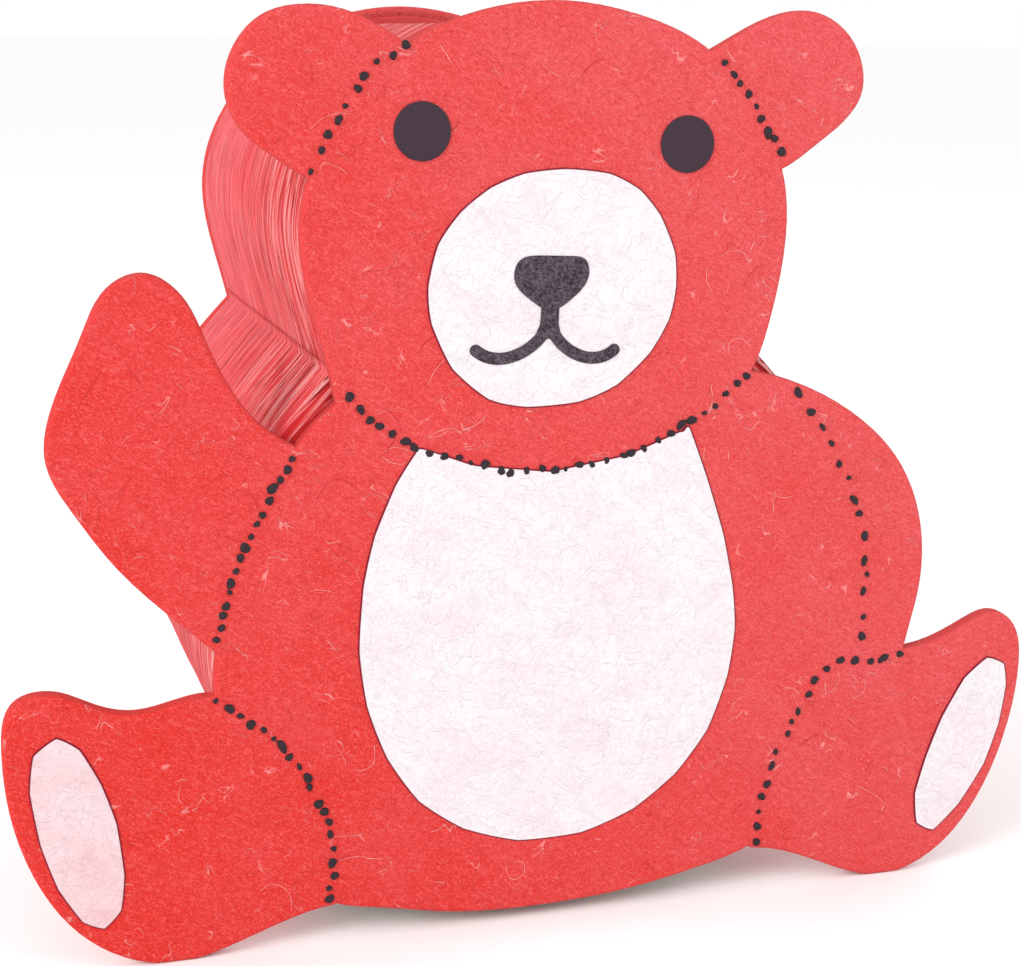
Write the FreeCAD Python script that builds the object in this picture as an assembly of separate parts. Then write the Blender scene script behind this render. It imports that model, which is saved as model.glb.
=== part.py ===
import FreeCAD, Part
import math
import os

# A standing teddy bear made of red mulberry paper over grey board.  A flat front
# board carries the whole bear.  Behind it a hollow case, open at the crown of the
# head, follows the head and the body only, and a back board closes it.
# Frame, in mm: +X to the viewer's right, +Y from the face to the back, +Z up.
# The pieces are drawn about the middle of the face, with y = 0 in the plane of the
# face paper, and the finished figure is set down with the origin on the table in the
# middle of its footprint.

DEPTH = 124.0          # face paper to back paper
PAPER = 0.5            # one layer of mulberry paper
BOARD = 3.0            # front and back boards
CARD = 2.0             # bent strips of the case
PATCH = 0.3            # thin white paper glued on the face
EYE = 0.4              # eye discs stand a little prouder
INK = 0.25             # nose and mouth
WRAP = 0.3             # softening where the paper turns round a board's edge
DOT_RADIUS = 1.05      # one stitch dot
DOT_HEIGHT = 0.55
NECK_HEIGHT = 114.0    # where the head strip meets the body strip
BASE_HALF_WIDTH = 46.0 # the underside strip spans this much each side of the middle
MOUTH_HALF_WIDTH = 22.0  # opening in the crown

FACE_TO_MIDDLE = 1.0   # the footprint's middle lies this far right of the face's middle

CASE_FRONT = PAPER + BOARD + PAPER
CASE_BACK = DEPTH - CASE_FRONT
TALL = 400.0           # larger than the figure, for cutting blocks

# Closed outlines in the plane of the face, as (x, z) points on smooth curves.
HEAD = [
    (-44, 113), (-48.5, 131), (-50.5, 145), (-48.5, 156), (-41.5, 168.5), (-30, 179.7),
    (-15, 186.3), (0.5, 188.4), (15, 186.4), (31, 179.8), (42.5, 167.3), (48.5, 155),
    (49.6, 141.5), (47, 126), (42, 113.5), (32, 106), (16, 99.2), (0, 96.7),
    (-16, 98.7), (-30, 104),
]
BODY = [
    (0, 125), (-38, 116.5), (-53, 102.5), (-62, 85), (-67, 69), (-68.6, 55), (-65.5, 37),
    (-57, 19.5), (-45.2, 8.5), (-36, 6.3), (-22, 3.6), (0, 2.4), (20, 3.8), (35, 6.6),
    (47, 10.3), (60, 22), (69, 40), (71.8, 62), (69, 83.5), (60.5, 101), (38, 117),
]
# The case meets the boards along its own body line: its shoulders ride a little
# higher than the front board's, so the strips bend round a blunter neck.
CASE_BODY = [
    (0, 141), (-22, 136.5), (-36, 126.5), (-46.2, 116), (-54.5, 106.3), (-63, 88), (-67.3, 71),
    (-68.5, 58), (-66, 45.5), (-60.8, 33), (-52.5, 15.5), (-45, 8.5), (-22, 3.6), (0, 2.4),
    (20, 3.8), (47, 10.3), (60, 22), (69, 40), (71.8, 62), (69, 83.5), (60.5, 101),
    (49, 115), (38, 126), (23, 136.5),
]
EAR_LEFT = [
    (-28, 178.5), (-33.2, 182.2), (-41.5, 186), (-49.3, 186.9), (-57, 184.8), (-62.3, 179),
    (-64, 171), (-61, 163.8), (-55, 159), (-46.5, 154.5), (-36, 162),
]
EAR_RIGHT = [
    (28, 177.5), (38, 182.8), (45.5, 186.2), (53.5, 187.1), (60.4, 183.8), (64.7, 177.3),
    (65, 171), (62, 166.2), (55.7, 161.1), (45.5, 155.5), (36, 162),
]
ARM_RAISED = [
    (-66, 62), (-76.5, 71.6), (-87.5, 83.3), (-94.2, 93.2), (-98.8, 103), (-97.7, 112),
    (-91.4, 126.6), (-86.5, 135.3), (-80, 138), (-73.5, 134.5), (-68.5, 125), (-64, 115.7),
    (-56.5, 107), (-48, 101), (-54, 80),
]
ARM_LOWERED = [
    (38, 116), (52, 112.9), (66, 106), (78, 95), (84.4, 80.5), (84.9, 66), (83, 57), (79, 47),
    (62, 56), (56, 84),
]
LEG_LEFT = [
    (-45.4, 8), (-63, 3), (-78.6, -0.3), (-90, 3.5), (-98.7, 11.4), (-106, 25.7),
    (-109.2, 47), (-106.5, 56.7), (-99.1, 58.1), (-91.8, 55), (-84, 52.9), (-68.5, 55.1), (-56, 44),
    (-47, 29), (-45.2, 18),
]
LEG_RIGHT = [
    (48, 9.6), (61.7, 5.6), (80.8, -0.3), (92.1, 3.7), (102.7, 15.5), (109, 31),
    (111.2, 47), (109, 56), (104.5, 59.1), (96.8, 57), (86, 52.9), (69.5, 51), (57.5, 41.5),
    (51, 27.5), (48.6, 17),
]
# White patches, cut with scissors into many short straight sides.
MUZZLE = [
    (25.8, 133), (25.3, 140), (22, 147.4), (17.4, 152.6), (11, 155.8), (2, 156.8),
    (-6.5, 156), (-13.5, 153.3), (-19.5, 148.7), (-24, 142.5), (-26, 134.3),
    (-25.3, 127), (-21, 118), (-13.5, 111.6), (-5.5, 109.7), (5.5, 110.3),
    (13.5, 113.4), (20.5, 119.7), (24.5, 126.5),
]
BELLY = [
    (41.6, 60.5), (40.7, 69.7), (38.1, 81.3), (34, 93.4), (29.6, 104.4), (16, 99.2), (0, 96.7),
    (-16, 98.7), (-27.6, 103), (-32.4, 95.6), (-36.7, 85.4), (-39, 75.3), (-39.9, 62),
    (-38.3, 50), (-34.2, 38.8), (-27.5, 28.8), (-18, 21.8), (-6, 17.8), (8, 18),
    (19.5, 22), (29, 29), (36.1, 38.3), (40.3, 50),
]
PAD_LEFT = [
    (-99, 49.8), (-103.6, 46.5), (-104.6, 39), (-103, 28), (-100, 18.5), (-95.5, 11),
    (-91.2, 9), (-87.7, 12.6), (-86.8, 20), (-88, 31), (-90.7, 39.5), (-94.6, 47),
]
PAD_RIGHT = [
    (102.5, 49), (97, 44.6), (92, 36), (88.6, 27), (86.4, 18.5), (87.3, 11.3), (91.8, 9),
    (98, 14.7), (103.7, 23.6), (106.8, 33), (108, 42), (107, 47.2),
]
NOSE = [
    (-8.4, 137), (-7, 139.3), (-3, 139.9), (3, 139.7), (6.2, 138.9), (7, 136.6), (3.2, 131),
    (-1, 129), (-4.8, 131),
]

STEM = [(-2.8, 130), (0.9, 130), (0.8, 126.4), (1.3, 124.6), (-1.2, 123.4), (-3.8, 124.6), (-3, 126.4)]
SMILE = [
    [(-2.2, 124.6), (-6.5, 121), (-11.2, 119.8), (-16.2, 121.6)],
    [(-0.2, 124.6), (3.5, 120.8), (8, 119.3), (12.6, 120.8)],
]
STROKE = 2.4

# Rows of stitch dots: the line of each row and how many dots lie along it.
SEAMS = {
    "ear_left": ([(-48.1, 156.9), (-43.4, 166.1), (-36, 176), (-29.5, 180)], 10),
    "ear_right": ([(34.5, 176.8), (42.5, 167.3), (47.3, 159.5)], 9),
    "neck": ([
        (-41.3, 113.2), (-30, 104), (-15.6, 98.7), (0, 96.7), (15.9, 99.3), (31.8, 106.6),
        (41.8, 114.2),
    ], 33),
    "arm_raised": ([(-52.5, 102.2), (-60.4, 88), (-65.3, 76), (-67.7, 66.5)], 17),
    "arm_lowered": ([(53.8, 109.8), (63, 97.3), (70.9, 76), (71, 56.6)], 14),
    "leg_left": ([(-68.5, 54), (-61.3, 48.9), (-51.2, 37.6), (-45.5, 22.4), (-46.2, 9.6)], 20),
    "leg_right": ([
        (80.5, 51.6), (74, 50.4), (66.9, 51.4), (58, 42.3), (51.1, 27.6), (48.4, 10.9),
    ], 18),
}

EYES = {"eye_left": (-27.0, 163.8), "eye_right": (27.1, 161.2)}
EYE_RADIUS = 5.6


def vec(x, z, y=0.0):
    return FreeCAD.Vector(x, y, z)


def closed_curve(points):
    curve = Part.BSplineCurve()
    curve.interpolate([vec(x, z) for x, z in points], PeriodicFlag=True)
    return curve


def plate_of(wire, front, back):
    face = Part.Face(wire)
    face.translate(FreeCAD.Vector(0, front, 0))
    return face.extrude(FreeCAD.Vector(0, back - front, 0))


def smooth_plate(points, front, back):
    return plate_of(Part.Wire([closed_curve(points).toShape()]), front, back)


def cut_patch(points, front, back):
    corners = [vec(x, z) for x, z in points]
    return plate_of(Part.makePolygon(corners + corners[:1]), front, back)


def block(x0, x1, z0, z1):
    return Part.makeBox(x1 - x0, TALL, z1 - z0, FreeCAD.Vector(x0, -TALL / 2, z0))


def union(shapes):
    whole = shapes[0]
    for shape in shapes[1:]:
        whole = whole.fuse(shape)
    return whole.removeSplitter()


def keep_above_table(shape):
    return shape.common(block(-TALL, TALL, 0, TALL))


def bear_plate(front, back):
    lobes = (BODY, HEAD, EAR_LEFT, EAR_RIGHT, ARM_RAISED, ARM_LOWERED, LEG_LEFT, LEG_RIGHT)
    return keep_above_table(union([smooth_plate(lobe, front, back) for lobe in lobes]))


def soften_front(plate):
    rim = [e for e in plate.Edges if abs(e.BoundBox.YMax) < 1e-3]
    return plate.makeChamfer(WRAP, rim)


def beside(curve, distance, count, closed):
    # Points that run along the curve at a distance to its left.
    span = curve.LastParameter - curve.FirstParameter
    steps = count if closed else count - 1
    points = []
    for i in range(count):
        u = curve.FirstParameter + span * i / steps
        at = curve.value(u)
        along = curve.tangent(u)[0]
        points.append((at.x - distance * along.z, at.z + distance * along.x))
    return points


def shrink(points, inset):
    following = points[1:] + points[:1]
    turn = sum(a[0] * b[1] - b[0] * a[1] for a, b in zip(points, following))
    return beside(closed_curve(points), math.copysign(inset, turn), 3 * len(points), True)


def case_plate(front, back, inset=0.0):
    lobes = (CASE_BODY, HEAD)
    if inset:
        lobes = [shrink(lobe, inset) for lobe in lobes]
    return union([smooth_plate(lobe, front, back) for lobe in lobes])


def back_plate(front, back):
    # The body's round underside is filled down to a flat that stands on the table.
    sole = [(-36, 0), (36, 0), (50, 12.5), (-50, 12.5)]
    return union([case_plate(front, back), cut_patch(sole, front, back)])


def ring(outer_inset, inner_inset):
    outer = case_plate(CASE_FRONT, CASE_BACK, outer_inset)
    inner = case_plate(CASE_FRONT, CASE_BACK, inner_inset)
    crown = block(-MOUTH_HALF_WIDTH, MOUTH_HALF_WIDTH, NECK_HEIGHT + 30, TALL)
    return outer.cut(inner).cut(crown)


def split_ring(solid, name):
    # Four bent strips and the underside strip make up one layer of the case.
    base = block(-BASE_HALF_WIDTH, BASE_HALF_WIDTH, -10, 40)
    low = block(-TALL, TALL, -10, NECK_HEIGHT)
    high = block(-TALL, TALL, NECK_HEIGHT, TALL)
    left = block(-TALL, 0, -10, TALL)
    right = block(0, TALL, -10, TALL)
    sides = low.cut(base)
    return {
        name + "_head_left": solid.common(high.common(left)),
        name + "_head_right": solid.common(high.common(right)),
        name + "_body_left": solid.common(sides.common(left)),
        name + "_body_right": solid.common(sides.common(right)),
        name + "_underside": solid.common(base),
    }


def open_curve(points):
    curve = Part.BSplineCurve()
    curve.interpolate([vec(x, z) for x, z in points])
    return curve


def brush_stroke(points, front):
    # A flat stroke of even width with round ends, along a smooth open curve.
    spine = open_curve(points)
    upper = beside(spine, STROKE / 2, 7, False)
    lower = beside(spine, -STROKE / 2, 7, False)[::-1]
    edges = [open_curve(upper).toShape(), open_curve(lower).toShape()]
    for u, side, other in ((spine.LastParameter, upper, lower), (spine.FirstParameter, lower, upper)):
        outward = spine.tangent(u)[0] * (STROKE / 2) * (1 if side is upper else -1)
        tip = spine.value(u) + outward
        edges.append(Part.Arc(vec(*side[-1]), tip, vec(*other[0])).toShape())
    return plate_of(Part.Wire(Part.__sortEdges__(edges)), front, front + INK)


def mouth_line():
    front = -PATCH - INK
    stem = cut_patch(STEM, front, front + INK)
    return union([stem] + [brush_stroke(side, front) for side in SMILE])


def dot(at, radius):
    # A bead of dried paint: a low spherical cap on the face paper.
    ball_radius = (radius ** 2 + DOT_HEIGHT ** 2) / (2 * DOT_HEIGHT)
    centre = FreeCAD.Vector(at.x, ball_radius - DOT_HEIGHT, at.z)
    ball = Part.makeSphere(ball_radius, centre)
    in_front = Part.makeBox(8, 4, 8, FreeCAD.Vector(at.x - 4, -4, at.z - 4))
    return ball.common(in_front)


def dots_along(points, count):
    beads = []
    for i, at in enumerate(open_curve(points).toShape().discretize(Number=count)):
        beads.append(dot(at, DOT_RADIUS * (1 + 0.12 * math.sin(2.4 * i))))
    return Part.makeCompound(beads)


def stitch_rows():
    return {"stitches_" + name: dots_along(*row) for name, row in SEAMS.items()}


def face_trim():
    nodes = {
        "muzzle_patch": cut_patch(MUZZLE, -PATCH, 0),
        "belly_patch": cut_patch(BELLY, -PATCH, 0),
        "foot_pad_left": cut_patch(PAD_LEFT, -PATCH, 0),
        "foot_pad_right": cut_patch(PAD_RIGHT, -PATCH, 0),
        "nose": smooth_plate(NOSE, -PATCH - INK, -PATCH),
        "mouth_line": mouth_line(),
    }
    for name, (x, z) in EYES.items():
        nodes[name] = Part.makeCylinder(EYE_RADIUS, EYE, vec(x, z, -EYE), FreeCAD.Vector(0, 1, 0))
    return nodes


def boards():
    back_board_front = DEPTH - PAPER - BOARD
    return {
        "front_cover_paper": soften_front(bear_plate(0, PAPER)),
        "front_board": bear_plate(PAPER, PAPER + BOARD),
        "front_reverse_paper": bear_plate(PAPER + BOARD, CASE_FRONT),
        "back_lining_paper": back_plate(CASE_BACK, back_board_front),
        "back_board": back_plate(back_board_front, DEPTH - PAPER),
        "back_cover_paper": back_plate(DEPTH - PAPER, DEPTH),
    }


def case_strips():
    nodes = split_ring(ring(0, PAPER), "case_paper")
    nodes.update(split_ring(ring(PAPER, PAPER + CARD), "case_card"))
    nodes["case_lining_paper"] = ring(PAPER + CARD, 2 * PAPER + CARD)
    return nodes


def all_nodes():
    nodes = boards()
    nodes.update(case_strips())
    nodes.update(face_trim())
    nodes.update(stitch_rows())
    # The neck dots stand half on the belly patch, and the nose ends the mouth's stem.
    nodes["belly_patch"] = nodes["belly_patch"].cut(nodes["stitches_neck"])
    nodes["mouth_line"] = nodes["mouth_line"].cut(nodes["nose"])
    return nodes


os.makedirs("parts", exist_ok=True)
to_footprint = FreeCAD.Vector(-FACE_TO_MIDDLE, -(DEPTH - DOT_HEIGHT) / 2, 0)
for node, shape in all_nodes().items():
    shape.translate(to_footprint)
    shape.exportStep("parts/" + node + ".step")
    box = shape.BoundBox
    print(node, len(shape.Solids), shape.isValid(), round(shape.Volume, 1),
          [round(v, 1) for v in (box.XMin, box.YMin, box.ZMin, box.XMax, box.YMax, box.ZMax)])
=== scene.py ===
# %% [markdown]
# # A bear of red mulberry paper
# The bear is a flat front board with a hollow case behind its head and body. Every
# piece is paper over board, so the work is in cut edges, turned edges and fibres.
# First the measured model is loaded. It fixes every size and place.

# %% Load the measured model
import math
import random

import bmesh
import bpy
import numpy as np
from mathutils import Euler, Matrix, Vector, noise
from mathutils.geometry import delaunay_2d_cdt


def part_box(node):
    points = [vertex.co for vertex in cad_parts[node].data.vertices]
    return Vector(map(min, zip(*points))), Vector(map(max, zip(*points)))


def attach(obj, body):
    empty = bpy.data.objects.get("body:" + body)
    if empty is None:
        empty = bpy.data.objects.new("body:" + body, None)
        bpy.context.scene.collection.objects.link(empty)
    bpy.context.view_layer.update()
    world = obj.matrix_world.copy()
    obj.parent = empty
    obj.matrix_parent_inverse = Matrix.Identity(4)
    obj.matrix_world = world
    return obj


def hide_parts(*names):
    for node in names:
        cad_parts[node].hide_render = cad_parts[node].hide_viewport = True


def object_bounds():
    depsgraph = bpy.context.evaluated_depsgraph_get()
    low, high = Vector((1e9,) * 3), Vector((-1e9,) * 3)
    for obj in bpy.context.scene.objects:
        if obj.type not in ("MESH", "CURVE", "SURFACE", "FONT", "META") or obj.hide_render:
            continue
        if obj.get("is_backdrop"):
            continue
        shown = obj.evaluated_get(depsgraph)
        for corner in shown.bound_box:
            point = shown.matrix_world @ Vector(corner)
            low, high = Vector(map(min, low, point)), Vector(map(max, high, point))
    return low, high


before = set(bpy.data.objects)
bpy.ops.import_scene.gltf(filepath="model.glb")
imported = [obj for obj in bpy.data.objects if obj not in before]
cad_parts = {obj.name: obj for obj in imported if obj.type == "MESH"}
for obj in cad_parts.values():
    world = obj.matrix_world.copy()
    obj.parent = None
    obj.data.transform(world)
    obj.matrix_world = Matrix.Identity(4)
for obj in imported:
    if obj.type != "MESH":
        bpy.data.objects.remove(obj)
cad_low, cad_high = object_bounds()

MM = 0.001
scene = bpy.context.scene
print("nodes", len(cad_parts), "box in mm", [round(v / MM, 1) for v in (*cad_low, *cad_high)])

# %% [markdown]
# ## Where the boards lie
# The depths of the boards come from the measured nodes. The face plane is where the
# red paper of the front begins. The case runs from the back of the front board to
# the front of the back board.

# %% Depths of the boards
face_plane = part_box("front_cover_paper")[0].y
front_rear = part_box("front_reverse_paper")[1].y
back_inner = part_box("back_lining_paper")[0].y
back_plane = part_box("back_cover_paper")[1].y
print("face", round(face_plane / MM, 2), "case", round(front_rear / MM, 2), round(back_inner / MM, 2))

# %% [markdown]
# ## Camera
# The bear is seen from its raised-arm side, from about the height of its crown and
# from nearly half a metre away, so the near side strips of the case show. A mildly
# long lens keeps the face calm. The camera is a position and three angles, which is
# easier to read than a rotation matrix.

# %% Camera
camera_data = bpy.data.cameras.new("camera")
camera_data.sensor_width = 36.0
camera_data.lens = 68.76
camera_data.clip_start = 0.02
camera_data.clip_end = 200.0
camera = bpy.data.objects.new("camera", camera_data)
scene.collection.objects.link(camera)
turned_right, looking_down, tilt = math.radians(17.5), math.radians(12.9), math.radians(0.75)
aim = Euler((math.pi / 2 - looking_down, 0, -turned_right)).to_matrix() @ Matrix.Rotation(tilt, 3, "Z")
camera.matrix_world = Matrix.Translation(Vector((-123.7, -423.6, 181.5)) * MM) @ aim.to_4x4()
scene.camera = camera
print("camera at", [round(v, 3) for v in camera.matrix_world.translation])

# %% [markdown]
# ## Shader sums in plain Python
# A finish is a web of nodes. Written out node by node it is hard to read, so a small
# class holds one socket and lets Python's own + - and * build the Math nodes. The
# reflected forms are there too, so that 1 - mask works as it reads.

# %% A number that varies over a surface
class Reading:
    """A number that varies over a finish, held as the socket that gives it."""

    def __init__(self, finish, socket):
        self.finish = finish
        self.socket = socket

    def maths(self, operation, *numbers):
        sockets = dict(enumerate(numbers))
        return self.finish.node("ShaderNodeMath", {"operation": operation}, sockets)

    def __add__(self, other):
        return self.maths("ADD", self, other)

    def __radd__(self, other):
        return self.maths("ADD", other, self)

    def __sub__(self, other):
        return self.maths("SUBTRACT", self, other)

    def __rsub__(self, other):
        return self.maths("SUBTRACT", other, self)

    def __mul__(self, other):
        return self.maths("MULTIPLY", self, other)

    def __rmul__(self, other):
        return self.maths("MULTIPLY", other, self)

    def __abs__(self):
        return self.maths("ABSOLUTE", self)

    def rise(self, low, high):
        """0 below low, 1 above high, smooth between. It falls if low is above high."""
        ends = {"From Min": min(low, high), "From Max": max(low, high)}
        ends.update({"To Min": float(low > high), "To Max": float(low < high)})
        smooth = {"interpolation_type": "SMOOTHSTEP"}
        return self.finish.node("ShaderNodeMapRange", smooth, {"Value": self, **ends})


print("a reading can", [name for name, value in vars(Reading).items() if callable(value)])

# %% [markdown]
# The second class holds the finish being made. Its `node` adds any node: first the
# settings, then the values or links of its sockets. The rest are the few things every
# paper needs: a place in millimetres, a grain of noise, a blend of two colours, and
# one physical surface to end on.

# %% A finish
class Finish:
    """One material while it is being made."""

    def __init__(self, name):
        self.material = bpy.data.materials.new(name)
        self.material.use_nodes = True
        self.nodes = self.material.node_tree.nodes
        self.links = self.material.node_tree.links
        self.nodes.clear()

    def node(self, kind, settings=None, sockets=None, output=0):
        made = self.nodes.new(kind)
        for name, value in (settings or {}).items():
            setattr(made, name, value)
        for name, value in (sockets or {}).items():
            if isinstance(value, Reading):
                self.links.new(value.socket, made.inputs[name])
            else:
                made.inputs[name].default_value = value
        return Reading(self, made.outputs[output]) if made.outputs else None

    def blend(self, share, first, second):
        """A colour that goes from first to second as share goes from 0 to 1."""
        settings = {"data_type": "RGBA", "clamp_factor": True}
        return self.node("ShaderNodeMix", settings, {0: share, 6: first, 7: second}, output=2)

    def place(self):
        """Where on the object the point lies, in millimetres."""
        spot = self.node("ShaderNodeTexCoord", output="Object")
        return self.node("ShaderNodeVectorMath", {"operation": "SCALE"}, {0: spot, "Scale": 1000.0})

    def grain(self, spot, width, stretch=1.0, turn=0.0, detail=2.0, wander=0.0):
        """Noise in grains width across and stretch times as long, turned in the face's plane."""
        scale = (width * stretch, width, width)
        lay = {"Vector": spot, "Rotation": (0, math.radians(turn), 0), "Scale": scale}
        laid = self.node("ShaderNodeMapping", {"vector_type": "TEXTURE"}, lay)
        return self.noise_of(laid, detail, wander)

    def noise_of(self, laid, detail, wander):
        sockets = {"Vector": laid, "Scale": 1.0, "Detail": detail, "Distortion": wander}
        return self.node("ShaderNodeTexNoise", {}, sockets)

    def close(self, colour, height, depth, **surface):
        """Ends the finish: colour and bumps of that depth in mm on one physical surface."""
        bumps = {"Height": height, "Strength": 1.0, "Distance": depth * MM}
        bump = self.node("ShaderNodeBump", {}, bumps)
        sockets = {"Base Color": colour, "Normal": bump}
        sockets.update({name.replace("_", " "): value for name, value in surface.items()})
        skin = self.node("ShaderNodeBsdfPrincipled", {}, sockets)
        self.node("ShaderNodeOutputMaterial", {}, {"Surface": skin})
        print("finish", self.material.name, len(self.nodes), "nodes")
        return self.material


print("a finish can", [name for name, value in vars(Finish).items() if callable(value)])

# %% [markdown]
# ## Floor and light
# The bear stands on a plain white table in a bright, almost shadowless studio. A
# white world does most of it. One large soft lamp high on the raised-arm side gives
# the paper enough direction to show its fibres. A weak one lower on that side opens
# the shade behind the ear and the arm, and a third fills from the other side.

# %% Floor and lamps
def table_top():
    paint = Finish("table_paint")
    spot = paint.place()
    tone = paint.grain(spot, 30.0)
    colour = paint.blend(tone, (0.955, 0.955, 0.955, 1), (0.965, 0.965, 0.965, 1))
    return paint.close(colour, tone, 0.01, Roughness=0.7)


bpy.ops.mesh.primitive_plane_add(size=120.0, location=(0, 0, cad_low.z))
floor = bpy.context.object
floor.name = "table_top"
floor.data.materials.append(table_top())
floor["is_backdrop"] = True


MIDDLE_OF_BEAR = Vector((0, 0, 0.09))


def softbox(name, spot, size, watts):
    lamp = bpy.data.lights.new(name, "AREA")
    lamp.shape = "DISK"
    lamp.size = size
    lamp.energy = watts
    holder = bpy.data.objects.new(name, lamp)
    holder.location = spot
    towards = MIDDLE_OF_BEAR - holder.location
    holder.rotation_euler = towards.to_track_quat("-Z", "Y").to_euler()
    scene.collection.objects.link(holder)


softbox("key_softbox", Vector((-1.4, -0.9, 0.9)), 0.8, 18.0)
softbox("side_softbox", Vector((-1.4, 0.15, 0.35)), 0.8, 3.0)
softbox("fill_softbox", Vector((1.1, -0.9, 0.7)), 1.0, 5.0)
world = bpy.data.worlds.new("studio")
world.use_nodes = True
world.node_tree.nodes["Background"].inputs["Color"].default_value = (1, 1, 1, 1)
scene.world = world
scene.view_settings.view_transform = "Standard"
scene.view_settings.look = "None"

# %% [markdown]
# ## Red mulberry paper
# The sheet is hand made from long bast fibres. Up close it is a felt of short
# threads that lie in many directions, with faint curled long ones. Its red is mixed
# deeper low on the raised-arm side and pinker towards the other side and upwards.
# Three layers of stretched noise at different turns give the felt.
# line along which a slow noise crosses its middle value, broken up by a second one.
# The very edge of a board, where the sheet turns, is mixed a little darker as painted shade.

# %% Red mulberry paper
def felt(paper, spot):
    """Short fibres lying at three turns, as one height from 0 to 1."""
    along = paper.grain(spot, 0.23, 4.0, 24.0, 2.0, 1.4)
    across = paper.grain(spot, 0.22, 3.4, -34.0, 2.0, 1.4)
    steep = paper.grain(spot, 0.26, 3.0, 78.0, 2.0, 1.0)
    return along * 0.42 + across * 0.34 + steep * 0.24


def curled(paper, spot, size, width, turn):
    """Thin curled lines, here and there."""
    slow = paper.grain(spot, size, 1.3, turn, 2.0, 1.2)
    line = abs(slow - 0.5).rise(width, 0.0)
    return line * paper.grain(spot, size * 0.8, 1.0, turn + 50.0, 1.0).rise(0.54, 0.66)


def red_paper(name, deep, light):
    paper = Finish(name)
    spot = paper.place()
    x, z = [paper.node("ShaderNodeSeparateXYZ", {}, {0: spot}, output=i) for i in (0, 2)]
    clouds = paper.grain(spot, 14.0, 1.4, 30.0, 3.0)
    # A slow gradient only: deeper red low on the raised-arm side, pinker to the other side and
    # upwards.
    deep_to_pink_slope = 0.56 + x * 0.0045 + (z - 95.0) * 0.0026 + (clouds - 0.5) * 0.9
    colour = paper.blend(deep_to_pink_slope, deep, light)
    height = felt(paper, spot)
    colour = paper.blend((0.5 - height).rise(0.0, 0.12) * 0.66, colour, (0.49, 0.022, 0.019, 1))
    colour = paper.blend((height - 0.5).rise(0.0, 0.12) * 0.46, colour, (0.85, 0.20, 0.19, 1))
    tufts = paper.grain(spot, 0.8, 3.0, 30.0, 3.0, 1.2)
    colour = paper.blend((tufts - 0.5).rise(0.03, 0.2) * 0.18, colour, (0.82, 0.19, 0.19, 1))
    colour = paper.blend((0.5 - tufts).rise(0.03, 0.2) * 0.22, colour, (0.56, 0.03, 0.027, 1))
    pale = curled(paper, spot, 7.0, 0.013, 10.0)
    dark = curled(paper, spot, 9.0, 0.008, 130.0)
    colour = paper.blend(pale * 0.6, colour, (0.90, 0.36, 0.35, 1))
    colour = paper.blend(dark * 0.35, colour, (0.45, 0.015, 0.016, 1))
    inset = paper.node("ShaderNodeAttribute", {"attribute_name": "inset_mm"}, output="Fac")
    # Painted shade: the red is darkened within about a third of a millimetre of a board's edge.
    colour = paper.blend(inset.rise(0.35, 0.0) * 0.45, colour, (0.50, 0.035, 0.032, 1))
    cockle = paper.grain(spot, 3.5, 1.6, 40.0, 3.0)
    height = height + tufts * 0.6 + pale * 0.4 + dark * 0.3 + cockle * 0.7
    return paper.close(colour, height, 0.34, Roughness=0.9, Specular_IOR_Level=0.12,
                       Sheen_Weight=0.03, Sheen_Roughness=0.5, Sheen_Tint=(1.0, 0.75, 0.75, 1))


DEEP_RED, PINKER_RED = (0.625, 0.026, 0.020, 1), (0.645, 0.080, 0.085, 1)
red_mulberry = red_paper("red_mulberry_paper", DEEP_RED, PINKER_RED)

# %% [markdown]
# ## Streaked paper of the strips
# The strips wear the same red, but their fibres were combed one way and run along
# the strip. They are coarse beside the front board, where dark gaps and pale
# threads show, and grow soft and pink towards the back. The streaks are noise
# stretched along the strip, so they follow it round the head. That needs to know
# how far along and how far across the strip a point is, so each strip carries those
# two lengths as an attribute, with its distance from the crease at the neck as a
# third. The noise is laid on the first two only. The strips face the main lamp, so
# their red is mixed darker than the front's to look alike beside it.

# %% Streaked red paper
def streaks(paper, lay, width, length, wander=0.0, detail=3.0):
    """Noise drawn out along the strip."""
    sockets = {"Vector": lay, "Scale": (length, width, 1.0)}
    drawn = paper.node("ShaderNodeMapping", {"vector_type": "TEXTURE"}, sockets)
    return paper.noise_of(drawn, detail, wander)


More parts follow.
